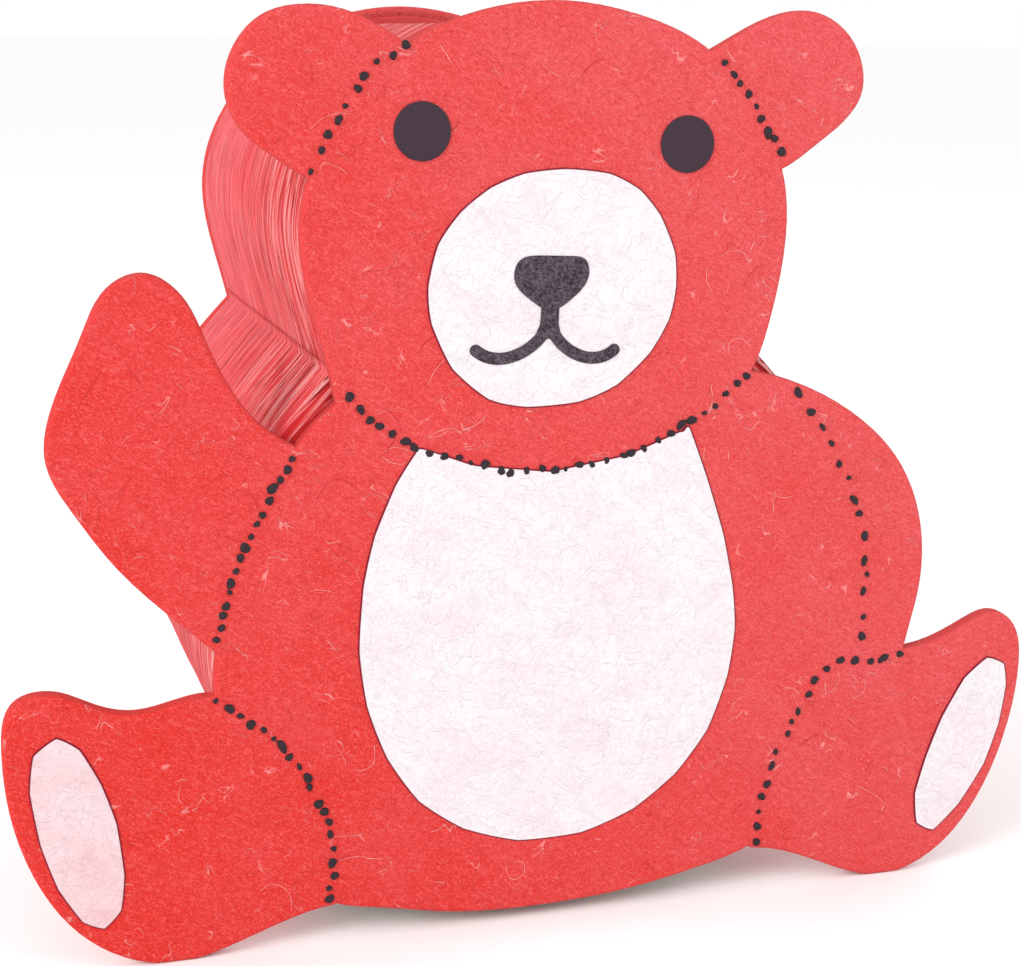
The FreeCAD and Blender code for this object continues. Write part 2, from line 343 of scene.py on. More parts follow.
def streaked_paper():
    paper = Finish("streaked_red_paper")
    straight = paper.node("ShaderNodeAttribute", {"attribute_name": "strip_mm"}, output="Vector")
    parts = [paper.node("ShaderNodeSeparateXYZ", {}, {0: straight}, output=i) for i in (0, 1, 2)]
    along, across, crease = parts
    flat = paper.node("ShaderNodeCombineXYZ", {}, {0: along, 1: across})
    slow_sway = (streaks(paper, flat, 22.0, 60.0, detail=0.0) - 0.5) * 7.0
    sway = slow_sway + (streaks(paper, flat, 5.0, 24.0, detail=0.0) - 0.5) * 1.6
    lay = paper.node("ShaderNodeCombineXYZ", {}, {0: along, 1: across + sway})
    coarse = across.rise(62.0, 6.0)
    fine = streaks(paper, lay, 1.0, 20.0, 0.3)
    broad = streaks(paper, lay, 5.0, 80.0, 0.3)
    colour = paper.blend(broad.rise(0.3, 0.7), (0.52, 0.032, 0.036, 1), (0.59, 0.060, 0.068, 1))
    colour = paper.blend(across.rise(20.0, 110.0) * 0.6, colour, (0.64, 0.100, 0.116, 1))
    hollow = (0.5 - fine).rise(0.0, 0.09) * (0.20 + coarse * 0.65)
    ridge = (fine - 0.5).rise(0.0, 0.09) * (0.28 + coarse * 0.50)
    colour = paper.blend(hollow, colour, (0.48, 0.014, 0.014, 1))
    colour = paper.blend(ridge, colour, (0.74, 0.26, 0.255, 1))
    gaps = streaks(paper, lay, 1.5, 16.0, 0.5).rise(0.57, 0.63)
    threads = streaks(paper, lay, 1.1, 20.0, 0.6).rise(0.59, 0.65)
    colour = paper.blend(gaps * (0.15 + coarse * 0.75), colour, (0.28, 0.008, 0.008, 1))
    colour = paper.blend(threads * (0.2 + coarse * 0.5), colour, (0.90, 0.42, 0.40, 1))
    # Painted shade: a soft dark line along the neck crease, where the strips fold inwards.
    colour = paper.blend(crease.rise(1.3, 0.0) * 0.4, colour, (0.40, 0.014, 0.014, 1))
    height = fine + broad * 0.8 - gaps * 0.9 + threads * 0.6
    return paper.close(colour, height, 0.5, Roughness=0.88, Specular_IOR_Level=0.1,
                       Sheen_Weight=0.03, Sheen_Roughness=0.4, Sheen_Tint=(1.0, 0.7, 0.7, 1))


streaked_red = streaked_paper()

# %% [markdown]
# ## White paper patches
# Muzzle, belly and foot pads are thin white paper with faint wrinkles, blushed by
# the red beneath. Along the scissor cut the red shows through as a thin maroon
# line. The distance to the cut is known at each point of the mesh, so the line is
# drawn from that.

# %% White paper
def white_paper(name, plain, blush):
    paper = Finish(name)
    spot = paper.place()
    wrinkle = abs(paper.grain(spot, 3.4, 1.7, 25.0, 4.0, 1.4) - 0.5).rise(0.07, 0.0)
    crossing = abs(paper.grain(spot, 3.0, 1.5, -50.0, 4.0, 1.6) - 0.5).rise(0.06, 0.0)
    fine = felt(paper, spot)
    cloudy = paper.grain(spot, 9.0, 1.5, 15.0, 3.0)
    colour = paper.blend(cloudy.rise(0.35, 0.75), plain, blush)
    colour = paper.blend((0.5 - fine).rise(0.0, 0.12) * 0.45, colour, (0.62, 0.50, 0.53, 1))
    colour = paper.blend(wrinkle * 0.06 + crossing * 0.05, colour, (0.66, 0.50, 0.54, 1))
    inset = paper.node("ShaderNodeAttribute", {"attribute_name": "inset_mm"}, output="Fac")
    colour = paper.blend(inset.rise(0.36, 0.2), colour, (0.20, 0.006, 0.024, 1))
    height = fine * 0.9 + wrinkle * 0.35 + crossing * 0.3 + cloudy * 0.6
    return paper.close(colour, height, 0.24, Roughness=0.9, Specular_IOR_Level=0.15,
                       Sheen_Weight=0.03, Sheen_Roughness=0.5)


white_plain = white_paper("white_paper", (0.745, 0.71, 0.73, 1), (0.745, 0.65, 0.68, 1))
white_blushed = white_paper("white_paper_blushed", (0.72, 0.56, 0.58, 1), (0.71, 0.44, 0.46, 1))

# %% [markdown]
# ## Eye paper, charcoal and stitch paint
# The eyes are smooth dark plum card. Nose and mouth are charcoal: darker and
# paler specks where the stick caught the paper. The stitches are small beads of
# black paint, dried nearly matt.

# %% Dark finishes
def eye_card():
    card = Finish("eye_paper")
    spot = card.place()
    fine = card.grain(spot, 0.35, 3.0, 20.0)
    colour = card.blend(fine, (0.031, 0.016, 0.025, 1), (0.041, 0.023, 0.034, 1))
    return card.close(colour, fine, 0.015, Roughness=0.6, Specular_IOR_Level=0.2)


def charcoal_rub():
    rub = Finish("charcoal_ink")
    spot = rub.place()
    specks = rub.grain(spot, 0.42, 1.5, 35.0, 4.0, 0.5)
    patches = rub.grain(spot, 2.4, 1.2, 0.0, 3.0)
    share = (specks - 0.5) * 3.0 + (patches - 0.5) * 1.2 + 0.38
    colour = rub.blend(share, (0.020, 0.012, 0.018, 1), (0.115, 0.085, 0.108, 1))
    return rub.close(colour, specks, 0.06, Roughness=0.78, Specular_IOR_Level=0.25)


def bead_paint():
    paint = Finish("stitch_paint")
    spot = paint.place()
    lumps = paint.grain(spot, 0.6, 1.0, 0.0, 3.0)
    colour = paint.blend(lumps, (0.010, 0.006, 0.009, 1), (0.032, 0.020, 0.027, 1))
    return paint.close(colour, lumps, 0.08, Roughness=0.65, Specular_IOR_Level=0.25)


eye_dark, charcoal, paint_black = eye_card(), charcoal_rub(), bead_paint()

# %% [markdown]
# ## Lining, grey board and card
# Inside, the case is lined with plain red paper. The boards are grey board, which
# shows flecks of old paper, and the bent strips are a thinner card of the same
# kind. They hardly show, but a cut or an open crown would give away a flat colour.

# %% Inner finishes
def lining_red():
    paper = Finish("lining_paper")
    spot = paper.place()
    fine = felt(paper, spot)
    clouds = paper.grain(spot, 12.0, 1.4, 20.0, 3.0)
    colour = paper.blend(clouds, (0.56, 0.035, 0.03, 1), (0.62, 0.07, 0.07, 1))
    colour = paper.blend((fine - 0.5).rise(0.02, 0.18) * 0.3, colour, (0.80, 0.20, 0.19, 1))
    return paper.close(colour, fine, 0.12, Roughness=0.9, Specular_IOR_Level=0.2)


def pulp_board(name, dark, pale):
    board = Finish(name)
    spot = board.place()
    pulp = board.grain(spot, 0.5, 2.0, 30.0, 4.0)
    flecks = board.grain(spot, 1.1, 1.8, -20.0, 2.0).rise(0.66, 0.72)
    colour = board.blend(pulp.rise(0.3, 0.7), dark, pale)
    colour = board.blend(flecks * 0.5, colour, tuple(0.5 * c for c in dark[:3]) + (1,))
    return board.close(colour, pulp, 0.08, Roughness=0.92, Specular_IOR_Level=0.15)


lining = lining_red()
greyboard = pulp_board("greyboard", (0.25, 0.235, 0.205, 1), (0.36, 0.34, 0.30, 1))
bent_card = pulp_board("case_card", (0.33, 0.30, 0.25, 1), (0.44, 0.41, 0.35, 1))

# %% [markdown]
# ## Reading an outline from a measured node
# Each flat piece is a plate in the measured model, and its outline is the border of
# one of its flat faces. Points nearer than a fifth of a millimetre say nothing new
# and are dropped, and long sides are divided so that later edges can be rounded.

# %% Outlines
def border_loops(node, plane):
    """The border loops of the node's flat faces at that depth, as lists of (x, z)."""
    mesh = bmesh.new()
    mesh.from_mesh(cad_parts[node].data)
    bmesh.ops.remove_doubles(mesh, verts=mesh.verts, dist=2e-6)
    flat = [f for f in mesh.faces if all(abs(v.co.y - plane) < 2e-5 for v in f.verts)]
    on_plane = set(flat)
    following = {}
    for face in flat:
        for corner in face.loops:
            if sum(f in on_plane for f in corner.edge.link_faces) == 1:
                following[corner.vert] = corner.link_loop_next.vert
    loops = []
    while following:
        start, at = next(iter(following.items()))
        loop = [start]
        del following[start]
        while at in following:
            loop.append(at)
            at = following.pop(at)
        loops.append(np.array([(v.co.x, v.co.z) for v in loop]))
    mesh.free()
    return loops


def signed_area(points):
    x, z = points.T
    return 0.5 * np.sum(x * np.roll(z, -1) - np.roll(x, -1) * z)


print("loops round the front board", len(border_loops("front_board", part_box("front_board")[0].y)))

# %% [markdown]
# A loop can run either way round, and has many points in its curves and few along
# its straight sides. Every outline used below runs anticlockwise as seen from the
# front and has points at an even spacing.

# %% One outline, evenly divided
def divided(points, spacing, closed=True):
    """The same line, with near points dropped and long sides divided."""
    kept = [points[0]]
    for p in points[1:]:
        if np.linalg.norm(p - kept[-1]) > 0.2 * MM:
            kept.append(p)
    if closed and np.linalg.norm(kept[0] - kept[-1]) < 0.2 * MM:
        kept.pop()
    ends = kept[1:] + kept[:1] if closed else kept[1:]
    made = []
    for a, b in zip(kept, ends):
        parts = max(1, round(np.linalg.norm(b - a) / spacing))
        made += [a + (b - a) * i / parts for i in range(parts)]
    return np.array(made if closed else made + [kept[-1]])


def largest_loop(node, plane):
    """The outer border of a plate, running anticlockwise as seen from the front."""
    largest = max(border_loops(node, plane), key=lambda loop: abs(signed_area(loop)))
    return largest if signed_area(largest) > 0 else largest[::-1]


def outline_of(node, plane, spacing=0.9 * MM):
    return divided(largest_loop(node, plane), spacing)


bear_outline = outline_of("front_board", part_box("front_board")[0].y)
case_outline = outline_of("back_board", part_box("back_board")[1].y)
print("bear outline", len(bear_outline), "points, case outline", len(case_outline), "points")

# %% [markdown]
# ## Flat pieces with worked edges
# A flat piece is built as a stack of copies of its outline, each drawn inwards by
# an amount and set at a depth. That profile gives rounded, turned or plainly cut
# edges. The visible face is then filled with a fine mesh of jittered points, so that
# the paper can be made slightly uneven in its real shape and not only in its finish.

# %% Inwards from an outline
def inward(points):
    """At each point, the step that moves the outline one unit inwards."""
    ahead = np.roll(points, -1, 0) - points
    ahead /= np.linalg.norm(ahead, axis=1)[:, None]
    behind = np.roll(ahead, 1, 0)
    along = ahead + behind
    along /= np.maximum(np.linalg.norm(along, axis=1)[:, None], 1e-9)
    stretch = 1 / np.maximum(0.6, np.sum(along * ahead, axis=1))
    return np.stack([-along[:, 1], along[:, 0]], 1) * stretch[:, None]


def distance_to(points, outline):
    """Distance of each point from the outline, and whether it lies inside."""
    a, b = outline, np.roll(outline, -1, 0)
    side = b - a
    nearest = np.full(len(points), 1e9)
    inside = np.zeros(len(points), bool)
    for start, run, end in zip(a, side, b):
        away = points - start
        share = np.clip(away @ run / max(run @ run, 1e-18), 0, 1)
        nearest = np.minimum(nearest, np.linalg.norm(away - share[:, None] * run, axis=1))
        if start[1] != end[1]:
            crosses = (start[1] > points[:, 1]) != (end[1] > points[:, 1])
            at = start[0] + (points[:, 1] - start[1]) * run[0] / run[1]
            inside ^= crosses & (points[:, 0] < at)
    return nearest, inside


from_the_edge, _ = distance_to(case_outline, bear_outline)
print("the case stands up to", round(from_the_edge.max() / MM, 1), "mm from the bear's outline")

# %% [markdown]
# The face inside a ring is filled with triangles between scattered points. Without a
# spacing only the ring itself is joined up, which is enough for a hidden face.

# %% Filling a ring
def fill(ring, spacing, seed):
    """Points inside a ring and the triangles that join them to it."""
    inner = np.empty((0, 2))
    if spacing:
        chance = np.random.default_rng(seed)
        low, high = ring.min(0), ring.max(0)
        steps = [np.arange(low[i], high[i], spacing) for i in (0, 1)]
        grid = np.stack(np.meshgrid(*steps), -1).reshape(-1, 2)
        grid = grid + chance.uniform(-0.3, 0.3, grid.shape) * spacing
        away, inside = distance_to(grid, ring)
        inner = grid[inside & (away > 0.55 * spacing)]
    points = np.concatenate([ring, inner])
    scaled = [Vector(p / MM) for p in points]
    made = delaunay_2d_cdt(scaled, [], [list(range(len(ring)))], 1, 1e-5)
    first = {}
    for new, olds in enumerate(made[3]):
        if olds:
            first[new] = olds[0]
    faces = [[first[v] for v in face] for face in made[2] if all(v in first for v in face)]
    return inner, [f for f in faces if len(set(f)) == 3]


print("a plain fill of the case has", len(fill(case_outline, None, 1)[1]), "triangles")

# %% [markdown]
# Every piece ends the same way: its mesh gets a finish, it is hung on the root body,
# and the measured node it stands for is hidden.

# %% Making a piece and placing it in the frame
def mesh_object(name, corners, faces, material):
    mesh = bpy.data.meshes.new(name)
    mesh.from_pydata([tuple(c) for c in corners], [], [tuple(int(i) for i in f) for f in faces])
    mesh.validate()
    mesh.shade_smooth()
    mesh.materials.append(material)
    made = bpy.data.objects.new(name, mesh)
    scene.collection.objects.link(made)
    return made


def finish_piece(piece, slot, *nodes):
    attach(piece, "root")
    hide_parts(*nodes)


def ring_faces(rings, around):
    """The four-sided faces between rings of corners, each ring around corners long."""
    faces = []
    for start in range(0, (rings - 1) * around, around):
        for k in range(around):
            n = (k + 1) % around
            faces.append([start + k, start + n, start + around + n, start + around + k])
    return faces


print("two rings of six corners make", len(ring_faces(2, 6)), "faces")

# %% [markdown]
# Now the flat piece itself. Its visible face also gets a gentle unevenness, a tenth
# of a millimetre or so, because glued paper is never quite flat.

# %% Building a flat piece
def uneven(x, z, size, seed):
    """Gentle unevenness from 0 to 1 at a point, its hollows size across."""
    at = Vector((x, seed * 0.37, z)) / size
    return min(1.0, max(0.0, 0.5 + 0.5 * noise.fractal(at, 1.0, 2.0, 3)))


def flat_piece(name, outline, plane, facing, profile, material, spacing=None, relief=0.0, seed=1):
    """A closed plate. Its profile goes from the hidden face to the visible one, as
    (drawn inwards, depth behind the visible face) in mm. Facing is -1 to the front."""
    step = inward(outline)
    rings = [outline + step * inset * MM for inset, depth in profile]
    _, hidden_faces = fill(rings[0], None, seed)
    shown, shown_faces = fill(rings[-1], spacing, seed)
    count = len(outline)
    flat = np.concatenate(rings + [shown])
    shown_depth = profile[-1][1]
    depths = [np.full(count, depth) for _, depth in profile] + [np.full(len(shown), shown_depth)]
    depths = np.concatenate(depths)
    shift = (len(profile) - 1) * count
    if relief:
        for i in range(shift, len(flat)):
            depths[i] += relief * uneven(flat[i][0], flat[i][1], 9 * MM, seed)
    corners = np.stack([flat[:, 0], plane - facing * depths * MM, flat[:, 1]], 1)
    faces = [[a, c, b] for a, b, c in hidden_faces]
    faces += ring_faces(len(profile), count)
    faces += [[a + shift, b + shift, c + shift] for a, b, c in shown_faces]
    if facing > 0:
        faces = [f[::-1] for f in faces]
    made = mesh_object(name, corners, faces, material)
    near, _ = distance_to(flat, outline)
    inset = made.data.attributes.new("inset_mm", "FLOAT", "POINT")
    inset.data.foreach_set("value", (near / MM).astype(np.float32))
    print(name, len(corners), "points", len(faces), "faces")
    return made


# %% [markdown]
# ## The two boards
# A bookbinder covers a board by gluing paper over its face, turning the edges round
# and gluing a second sheet inside the turned edge. The cover is made the same way
# here: a thin skin that goes over the face, round the edge with a soft radius, and
# ends a few millimetres in on the other side. The grey board sits inside the skin,
# and the second sheet is a little smaller than the board.

# %% Front and back board
COVER = [
    (0.45, 0.45), (0.45, 3.3), (4.0, 3.3), (4.0, 3.72), (1.2, 3.82), (0.5, 3.68), (0.12, 3.35),
    (0.0, 2.8), (0.0, 1.1), (0.07, 0.65), (0.25, 0.3), (0.55, 0.1), (1.0, 0.02), (1.6, 0.0),
]
CORE = [(0.9, 3.3), (0.5, 3.0), (0.5, 0.8), (0.9, 0.5)]
SECOND_SHEET = [(2.6, 0.5), (2.4, 0.3), (2.45, 0.08), (2.7, 0.0)]

def board(name, outline, plane, facing, profile, material, slot, node, *surface):
    """One board or sheet; surface is the spacing, relief and seed of its visible face."""
    made = flat_piece(name, outline, plane, facing, profile, material, *surface)
    finish_piece(made, slot, node)


board("front_cover_paper_wrapped", bear_outline, face_plane, -1, COVER, red_mulberry,
      "red_mulberry_paper", "front_cover_paper", 1.3 * MM, 0.14, 3)
board("front_board_core", bear_outline, face_plane, -1, CORE, greyboard, "greyboard", "front_board")
board("front_reverse_sheet", bear_outline, front_rear, 1, SECOND_SHEET, red_mulberry,
      "red_mulberry_paper", "front_reverse_paper", 1.8 * MM, 0.08, 5)
board("back_cover_paper_wrapped", case_outline, back_plane, 1, COVER, red_mulberry,
      "red_mulberry_paper", "back_cover_paper", 1.5 * MM, 0.14, 7)
board("back_board_core", case_outline, back_plane, 1, CORE, greyboard, "greyboard", "back_board")
board("back_lining_sheet", case_outline, back_inner, -1, SECOND_SHEET, lining,
      "lining_paper", "back_lining_paper", 1.8 * MM, 0.08, 9)

# %% [markdown]
# ## The strips of the case
# Each strip is a band of card bent round the head or body, with combed paper glued
# over it. The measured strip gives the line it follows. The paper is laid along that
# line as a grid, its streaks pressed into the grid itself, and at the crown it is
# carried over the card's cut end and a little way in.

# %% Following a strip
def outer_line(node):
    """The outer side of a strip's section, from its upper end to its lower end."""
    loop = max(border_loops(node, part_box(node)[0].y), key=len)
    run = np.roll(loop, -1, 0) - loop
    run /= np.linalg.norm(run, axis=1)[:, None]
    doubling_back = np.sum(np.roll(run, 1, 0) * np.roll(run, -1, 0), axis=1)
    marks = sorted(np.argsort(doubling_back)[:2])
    chains = []
    for n, mark in enumerate(marks):
        until = marks[(n + 1) % len(marks)]
        span = (until - mark) % len(loop) or len(loop)
        chains.append(np.array([loop[(mark + 1 + k) % len(loop)] for k in range(span)]))
    lengths = [np.linalg.norm(np.diff(chain, axis=0), axis=1).sum() for chain in chains]
    line = chains[int(np.argmax(lengths))]
    return line if line[0][1] >= line[-1][1] else line[::-1]


NECK_HEIGHTS = 105 * MM, 130 * MM


def split_at_the_neck(upper, lower):
    """One line down the whole side, cut again where it turns in most sharply."""
    whole = divided(np.concatenate([outer_line(upper), outer_line(lower)]), 0.9 * MM, False)
    run = np.diff(whole, axis=0)
    run /= np.linalg.norm(run, axis=1)[:, None]
    low, high = NECK_HEIGHTS
    middle = [i for i in range(6, len(whole) - 6) if low < whole[i][1] < high]
    neck = min(middle, key=lambda i: run[i - 3] @ run[i + 2])
    return whole[:neck + 1], whole[neck:]


def left_of(line):
    along = np.gradient(line, axis=0)
    along /= np.linalg.norm(along, axis=1)[:, None]
    return np.stack([-along[:, 1], along[:, 0]], 1)


# How the paper goes round the card's upper end, as (past the end, into the case) in mm.
ROUND_THE_END = [
    (-8.0, 3.15), (-4.0, 3.15), (-1.0, 3.15), (0.1, 3.05), (0.62, 2.6),
    (0.85, 1.9), (0.85, 1.0), (0.6, 0.35), (0.2, 0.05),
]


def over_the_end(line, out):
    """The line, begun on the inside of the card and carried round its upper end."""
    start, away = line[0], line[0] - line[1]
    away = away / np.linalg.norm(away)
    into = -out[0]
    round_end = np.array([start + away * a * MM + into * b * MM for a, b in ROUND_THE_END])
    return np.concatenate([divided(round_end, 0.7 * MM, False), line[1:]])


head_left, body_left = split_at_the_neck("case_paper_head_left", "case_paper_body_left")
head_right, body_right = split_at_the_neck("case_paper_head_right", "case_paper_body_right")
underside = divided(outer_line("case_paper_underside"), 0.9 * MM, False)
print("points along head", len(head_left), "body", len(body_left), "underside", len(underside))

# %% [markdown]
# The grid of a strip is closed: an outer skin with the streaks, an inner skin just
# under it, and narrow walls at the four sides. The streaks sink into the paper and
# never stand out of it, so the strip stays inside its measured size. Along the front
# board the paper is turned in over the card's edge with a soft fold, which shows at
# the neck, where the strips stand a little proud of the board's outline.

# %% How deep the streaks are pressed
DEEPEST = 0.40


def streak_depth(u, v, seed):
    """How far the paper is pressed in at u along and v across the strip, in mm."""
    coarse = max(0.0, min(1.0, (70.0 - v) / 55.0))
    swayed = v + 1.5 * noise.noise(Vector((u / 60.0, v / 22.0, seed + 5.0)))
    fine = noise.noise(Vector((u / 60.0, swayed / 3.6, seed)))
    broad = noise.noise(Vector((u / 90.0, swayed / 8.0, seed + 9.0)))
    slack = noise.noise(Vector((u / 50.0, v / 34.0, seed + 17.0)))
    return max(0.0, min(DEEPEST, 0.2 + fine * (0.04 + 0.10 * coarse) + broad * 0.10 + slack * 0.10))


print("pressed in by mm", [round(streak_depth(10.0, v, 1.0), 2) for v in (1.0, 2.0, 3.0, 60.0)])

# %% [markdown]
# A strip needs two lists of steps across it: the seven of the fold at the front, and
# then even ones to the back board. Each step has a depth and an amount drawn in from
# the outer line. The fold fades out where the paper is carried over the card's end.

# %% Making a strip
CENTRE_OF_CASE = np.array([0.0, 95 * MM])
STEPS_ACROSS = 90
SKIN = 0.45

# The fold along the front board, as (drawn in, depth from the board) in mm.
TURNED_IN = [
    (6.0, -0.36), (3.0, -0.36), (1.4, -0.36), (0.7, -0.36), (0.3, -0.28), (0.1, -0.08), (0.0, 0.3),
]


def strip_faces(rows, wide):
    """Faces of a closed strip: the skin all round, and a cap at each end."""
    faces, last = ring_faces(rows, wide), (rows - 1) * wide
    for j in range(wide // 2 - 1):
        a, b, c, d = j, j + 1, wide - 2 - j, wide - 1 - j
        faces.append([a, d, c, b])
        faces.append([last + a, last + b, last + c, last + d])
    return faces


def strip_piece(name, node, line, turned_over, seed):
    out = left_of(line)
    if np.mean(np.sum(out * (line - CENTRE_OF_CASE), axis=1)) < 0:
        out = -out
    mirrored = np.sum(left_of(line)[0] * out[0]) < 0
    below = len(line)
    if turned_over:
        line = over_the_end(line, out)
        out = left_of(line) * (-1 if mirrored else 1)
    steps = np.linalg.norm(np.diff(line, axis=0), axis=1)
    along = np.concatenate([[0], np.cumsum(steps)]) / MM
    past_the_end = along - along[-below] if turned_over else along + 8.0
    crease = along[-1] - along if turned_over else along
    front, back = front_rear / MM, back_inner / MM
    fold_in, fold_depth = np.array(TURNED_IN).T
    even_steps = np.linspace(front + 2.0, back - 0.05, STEPS_ACROSS)
    across = np.concatenate([front + fold_depth, even_steps])
    drawn_in = np.concatenate([fold_in, np.zeros(STEPS_ACROSS)])
    under = np.maximum(drawn_in - 0.1, SKIN)
    corners, lay = [], []
    for point, normal, u, past, fold in zip(line, out, along, past_the_end, crease):
        flap = min(1.0, max(0.1, past / 8.0))
        for v, inset in zip(across, drawn_in):
            pressed = inset * flap + streak_depth(u, v - front, seed) * (1.0 if inset == 0 else 0.3)
            x, z = point - normal * pressed * MM
            corners.append((x, v * MM, z))
            lay.append((u, v - front - inset, fold))
        for v, inset in zip(across[::-1], under[::-1]):
            x, z = point - normal * max(SKIN, inset * flap) * MM
            corners.append((x, max(v, front - 0.02) * MM, z))
            lay.append((u, v - front - inset, fold))
    faces = strip_faces(len(line), 2 * len(across))
    if not mirrored:
        faces = [f[::-1] for f in faces]
    made = mesh_object(name, corners, faces, streaked_red)
    laid = made.data.attributes.new("strip_mm", "FLOAT_VECTOR", "POINT")
    laid.data.foreach_set("vector", np.array(lay, np.float32).ravel())
    finish_piece(made, "streaked_red_paper", node)
    print(name, len(corners), "points, length", round(along[-1], 1), "mm")


# %% [markdown]
# Five strips go round the case. The two at the head are carried over the card's ends
# at the crown, where the case is open.

# %% The five strips
strip_piece("strip_paper_head_left", "case_paper_head_left", head_left, True, 1.0)
strip_piece("strip_paper_head_right", "case_paper_head_right", head_right, True, 2.0)
strip_piece("strip_paper_body_left", "case_paper_body_left", body_left, False, 3.0)
strip_piece("strip_paper_body_right", "case_paper_body_right", body_right, False, 4.0)
strip_piece("strip_paper_underside", "case_paper_underside", underside, False, 5.0)

# %% [markdown]
# ## The card strips and the lining
# The measured card strips and lining already have their true shape, so they stay as
# they are and only get a finish.

# %% Finishes on the measured nodes
def dress(node, material):
    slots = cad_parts[node].data.materials
    slots.clear()
    slots.append(material)
    print(node, "wears", material.name)


for part in ("head_left", "head_right", "body_left", "body_right", "underside"):
    dress("case_card_" + part, bent_card)
dress("case_lining_paper", lining)

# %% [markdown]
# ## Patches, eyes, nose and mouth
# The patches are cut with scissors and glued flat, so they have a crisp low edge.
# The eyes are die-cut discs with a slightly domed face. Nose and mouth are only the
# thickness of a layer of charcoal, with a soft edge.

# %% Cut corners
PATCH_EDGE = [(0.0, 0.55), (0.0, 0.2), (0.1, 0.1), (0.22, 0.04), (0.35, 0.0)]
DISC_EDGE = [(0.0, 0.6), (0.0, 0.16), (0.12, 0.07), (0.5, 0.02), (1.2, 0.0)]
SOFT_EDGE = [(0.0, 0.5), (0.0, 0.18), (0.12, 0.08), (0.35, 0.0)]


def softened(corners, spacing, share):
    """The outline with its cut corners eased: share 0 keeps the straight snips."""
    made = []
    count = len(corners)
    for i in range(count):
        before, a, b, after = [corners[(i + k) % count] for k in (-1, 0, 1, 2)]
        parts = max(1, round(np.linalg.norm(b - a) / spacing))
        for t in np.arange(parts) / parts:
            straight = a + (b - a) * t
            square = (2 * before - 5 * a + 4 * b - after) * t**2
            cube = (3 * a - before - 3 * b + after) * t**3
            bent = 0.5 * (2 * a + (b - before) * t + square + cube)
            made.append(straight + (bent - straight) * share)
    return np.array(made)


def corners_of(loop):
    """The corners of an anticlockwise cut outline, without points along its sides."""
    back, ahead = loop - np.roll(loop, 1, 0), np.roll(loop, -1, 0) - loop
    turn = np.abs(back[:, 0] * ahead[:, 1] - back[:, 1] * ahead[:, 0])
    return loop[turn > 0.02 * np.linalg.norm(back, axis=1) * np.linalg.norm(ahead, axis=1)]


muzzle_loop = largest_loop("muzzle_patch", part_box("muzzle_patch")[0].y)
print("muzzle outline has", len(muzzle_loop), "points,", len(corners_of(muzzle_loop)), "corners")

# %% [markdown]
# The patches differ only in how far their corners are eased, and the eyes, nose and
# mouth only in edge and finish, so two short functions make them all.

# %% Trim on the face
def patch(name, node, material, ease, seed):
    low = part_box(node)[0].y
    outline = softened(corners_of(largest_loop(node, low)), 0.8 * MM, ease)
    made = flat_piece(name, outline, low, -1, PATCH_EDGE, material, 1.0 * MM, 0.10, seed)
    finish_piece(made, "white_paper", node)


def trim(name, node, edge, material, slot, spacing, relief, seed):
    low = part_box(node)[0].y
    outline = outline_of(node, low, spacing)
    made = flat_piece(name, outline, low, -1, edge, material, spacing, relief, seed)
    finish_piece(made, slot, node)


patch("muzzle_patch_cut", "muzzle_patch", white_plain, 0.6, 11)
patch("foot_pad_left_cut", "foot_pad_left", white_blushed, 0.35, 13)
patch("foot_pad_right_cut", "foot_pad_right", white_plain, 0.35, 14)
trim("eye_left_disc", "eye_left", DISC_EDGE, eye_dark, "eye_paper", 0.6 * MM, 0.02, 15)
trim("eye_right_disc", "eye_right", DISC_EDGE, eye_dark, "eye_paper", 0.6 * MM, 0.02, 16)
trim("nose_rubbed", "nose", SOFT_EDGE, charcoal, "charcoal_ink", 0.5 * MM, 0.05, 17)
trim("mouth_rubbed", "mouth_line", SOFT_EDGE, charcoal, "charcoal_ink", 0.4 * MM, 0.05, 18)

# %% [markdown]
# The belly patch is measured with a notch where each neck stitch stands on it. The
# real patch runs on under the paint, so the notches are bridged: any point of the
# outline that lies inside the line joining its neighbours further off is dropped.

# %% The belly patch
def bridged(points, reach):
    """The outline without bites shorter than reach."""
    kept = list(range(len(points)))
    i = 0
    while i < len(kept):
        a = points[kept[i]]
        for skip in range(min(30, len(kept) - 2), 1, -1):
            b = points[kept[(i + skip) % len(kept)]]
            between = [kept[(i + k) % len(kept)] for k in range(1, skip)]
            run = b - a
            if np.linalg.norm(run) > reach or np.linalg.norm(run) < 1e-9:
                continue
            side = [run[0] * (points[k] - a)[1] - run[1] * (points[k] - a)[0] for k in between]
            if min(side) > -1e-9 and max(side) / np.linalg.norm(run) > 0.25 * MM:
                kept = [k for k in kept if k not in between]
                break
        i += 1
    return points[kept]


belly_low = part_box("muzzle_patch")[0].y
belly_raw = largest_loop("belly_patch", belly_low)
belly_outline = softened(corners_of(bridged(belly_raw, 3.2 * MM)), 0.8 * MM, 0.5)
print("belly outline", len(belly_raw), "to", len(belly_outline), "points")
belly = flat_piece("belly_patch_cut", belly_outline, belly_low, -1, PATCH_EDGE, white_plain,
                   1.0 * MM, 0.10, 12)
finish_piece(belly, "white_paper", "belly_patch")

# %% [markdown]
# ## Stitch dots
# The stitches are beads of paint set down by hand, one after another. No two are
# alike: some are small, some ran together into a dash, and their outline is never
# quite round. Each measured bead gives a place and a size, and a seeded chance moves
# and reshapes it.

